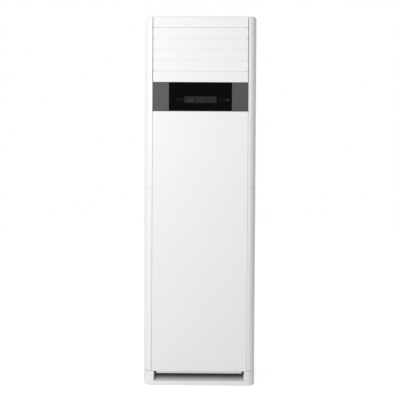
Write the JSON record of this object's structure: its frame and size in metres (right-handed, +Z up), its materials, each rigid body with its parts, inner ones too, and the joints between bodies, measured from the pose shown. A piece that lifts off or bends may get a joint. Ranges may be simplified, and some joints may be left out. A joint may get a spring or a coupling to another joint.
{
  "type": "floor standing air conditioner",
  "caption": "Tall floor standing air conditioner: hinged lower door, display band, tilting outlet louvres, side intakes, blower and coil inside.",
  "frame": {"origin": "on the floor, below the middle of the cabinet", "axes": "+Z up; the front with the door faces -Y; +X to the right seen from the front"},
  "size_m": [0.54, 0.379, 1.776],
  "materials": {
    "white_plastic": "satin",
    "white_steel": "fine texture",
    "grey_band": "satin",
    "black_glass": "gloss",
    "dark_plastic": "satin",
    "net": "fine net",
    "zinc_steel": "galvanised",
    "coil_aluminium": "plain",
    "copper": "drawn",
    "foam": "moulded foam",
    "rubber": "matt",
    "board": "satin"
  },
  "bodies": {
    "cabinet": {"front_plinth": "white_plastic", "top_cover": "white_plastic", "right_column_lower": "white_plastic", "left_column_lower": "white_plastic", "right_column_upper": "white_plastic", "left_column_upper": "white_plastic", "outlet_frame": "white_plastic", "bell_mouth": "white_plastic", "back_panel": "white_steel", "connection_plate": "white_steel", "right_side_panel": "white_steel", "left_side_panel": "white_steel", "display_bezel": "grey_band", "display_glass": "black_glass", "lcd_window": "dark_plastic", "receiver_window": "dark_plastic", "terminal_block": "dark_plastic", "base_pan": "zinc_steel", "louvre_motor": "zinc_steel", "vane_motor": "zinc_steel", "fan_scroll": "zinc_steel", "motor_plate": "zinc_steel", "fan_motor": "zinc_steel", "fan_deck": "zinc_steel", "coil_left_plate": "zinc_steel", "coil_right_plate": "zinc_steel", "crossbar": "zinc_steel", "electrical_box": "zinc_steel", "electrical_cover": "zinc_steel", "wall_bracket": "zinc_steel", "coil_fins": "coil_aluminium", "fan_capacitor": "coil_aluminium", "suction_pipe": "copper", "liquid_pipe": "copper", "outlet_duct": "foam", "drain_pan": "foam", "cord_grommet": "rubber", "display_board": "board", "control_board": "board"},
    "door": {"lower_door": "white_plastic"},
    "right_intake": {"right_intake_grille": "white_plastic", "right_filter": "net"},
    "left_intake": {"left_intake_grille": "white_plastic", "left_filter": "net"},
    "blower": {"blower_wheel": "dark_plastic", "fan_shaft": "zinc_steel"},
    "louvre_link_body": {"louvre_link": "dark_plastic"},
    "louvre_crank_body": {"louvre_crank": "dark_plastic"},
    "vane_link_body": {"vane_link": "dark_plastic"},
    "louvre_1": {"louvre_blade_1": "white_plastic"},
    "louvre_2": {"louvre_blade_2": "white_plastic"},
    "louvre_3": {"louvre_blade_3": "white_plastic"},
    "louvre_4": {"louvre_blade_4": "white_plastic"},
    "vane_1_body": {"vane_1": "white_plastic"},
    "vane_2_body": {"vane_2": "white_plastic"},
    "vane_3_body": {"vane_3": "white_plastic"},
    "vane_4_body": {"vane_4": "white_plastic"},
    "vane_5_body": {"vane_5": "white_plastic"},
    "vane_6_body": {"vane_6": "white_plastic"},
    "vane_7_body": {"vane_7": "white_plastic"}
  },
  "joints": [
    {"name": "door_swing", "type": "hinge", "parent": "cabinet", "child": "door", "pos_m": [0, -0.1825, 1.3144], "axis": [-1, 0, 0], "range_deg": [0, 25]},
    {"name": "right_intake_pull", "type": "slide", "parent": "cabinet", "child": "right_intake", "axis": [1, 0, 0], "range_m": [0, 0.08]},
    {"name": "left_intake_pull", "type": "slide", "parent": "cabinet", "child": "left_intake", "axis": [-1, 0, 0], "range_m": [0, 0.08]},
    {"name": "blower_spin", "type": "hinge", "parent": "cabinet", "child": "blower", "pos_m": [0, 0, 0.4], "axis": [0, 1, 0], "continuous": true},
    {"name": "louvre_1_tilt", "type": "hinge", "parent": "cabinet", "child": "louvre_1", "pos_m": [0, -0.181, 1.69435], "axis": [1, 0, 0], "range_deg": [0, 80]},
    {"name": "louvre_2_tilt", "type": "hinge", "parent": "cabinet", "child": "louvre_2", "pos_m": [0, -0.181, 1.64185], "axis": [1, 0, 0], "range_deg": [0, 80]},
    {"name": "louvre_3_tilt", "type": "hinge", "parent": "cabinet", "child": "louvre_3", "pos_m": [0, -0.181, 1.58935], "axis": [1, 0, 0], "range_deg": [0, 80]},
    {"name": "louvre_4_tilt", "type": "hinge", "parent": "cabinet", "child": "louvre_4", "pos_m": [0, -0.181, 1.53685], "axis": [1, 0, 0], "range_deg": [0, 80]},
    {"name": "louvre_link_pivot", "type": "hinge", "parent": "louvre_1", "child": "louvre_link_body", "pos_m": [-0.2394, -0.17028, 1.68535], "axis": [1, 0, 0], "range_deg": [-80, 0]},
    {"name": "louvre_crank_turn", "type": "hinge", "parent": "cabinet", "child": "louvre_crank_body", "pos_m": [-0.2427, -0.138, 1.6156], "axis": [1, 0, 0], "range_deg": [0, 80]},
    {"name": "vane_1_swing", "type": "hinge", "parent": "cabinet", "child": "vane_1_body", "pos_m": [-0.18, -0.126, 1.6], "axis": [0, 0, 1], "range_deg": [-35, 35]},
    {"name": "vane_2_swing", "type": "hinge", "parent": "cabinet", "child": "vane_2_body", "pos_m": [-0.12, -0.126, 1.6], "axis": [0, 0, 1], "range_deg": [-35, 35]},
    {"name": "vane_3_swing", "type": "hinge", "parent": "cabinet", "child": "vane_3_body", "pos_m": [-0.06, -0.126, 1.6], "axis": [0, 0, 1], "range_deg": [-35, 35]},
    {"name": "vane_4_swing", "type": "hinge", "parent": "cabinet", "child": "vane_4_body", "pos_m": [0, -0.126, 1.6], "axis": [0, 0, 1], "range_deg": [-35, 35]},
    {"name": "vane_5_swing", "type": "hinge", "parent": "cabinet", "child": "vane_5_body", "pos_m": [0.06, -0.126, 1.6], "axis": [0, 0, 1], "range_deg": [-35, 35]},
    {"name": "vane_6_swing", "type": "hinge", "parent": "cabinet", "child": "vane_6_body", "pos_m": [0.12, -0.126, 1.6], "axis": [0, 0, 1], "range_deg": [-35, 35]},
    {"name": "vane_7_swing", "type": "hinge", "parent": "cabinet", "child": "vane_7_body", "pos_m": [0.18, -0.126, 1.6], "axis": [0, 0, 1], "range_deg": [-35, 35]},
    {"name": "vane_link_pivot", "type": "hinge", "parent": "vane_1_body", "child": "vane_link_body", "pos_m": [-0.18, -0.112, 1.5], "axis": [0, 0, 1], "range_deg": [-35, 35]}
  ],
  "couplings": [
    {"joint": "louvre_2_tilt", "follows": "louvre_1_tilt", "ratio": 1},
    {"joint": "louvre_3_tilt", "follows": "louvre_1_tilt", "ratio": 1},
    {"joint": "louvre_4_tilt", "follows": "louvre_1_tilt", "ratio": 1},
    {"joint": "louvre_link_pivot", "follows": "louvre_1_tilt", "ratio": -1},
    {"joint": "louvre_crank_turn", "follows": "louvre_1_tilt", "ratio": 1},
    {"joint": "vane_2_swing", "follows": "vane_1_swing", "ratio": 1},
    {"joint": "vane_3_swing", "follows": "vane_1_swing", "ratio": 1},
    {"joint": "vane_4_swing", "follows": "vane_1_swing", "ratio": 1},
    {"joint": "vane_5_swing", "follows": "vane_1_swing", "ratio": 1},
    {"joint": "vane_6_swing", "follows": "vane_1_swing", "ratio": 1},
    {"joint": "vane_7_swing", "follows": "vane_1_swing", "ratio": 1},
    {"joint": "vane_link_pivot", "follows": "vane_1_swing", "ratio": -1}
  ]
}
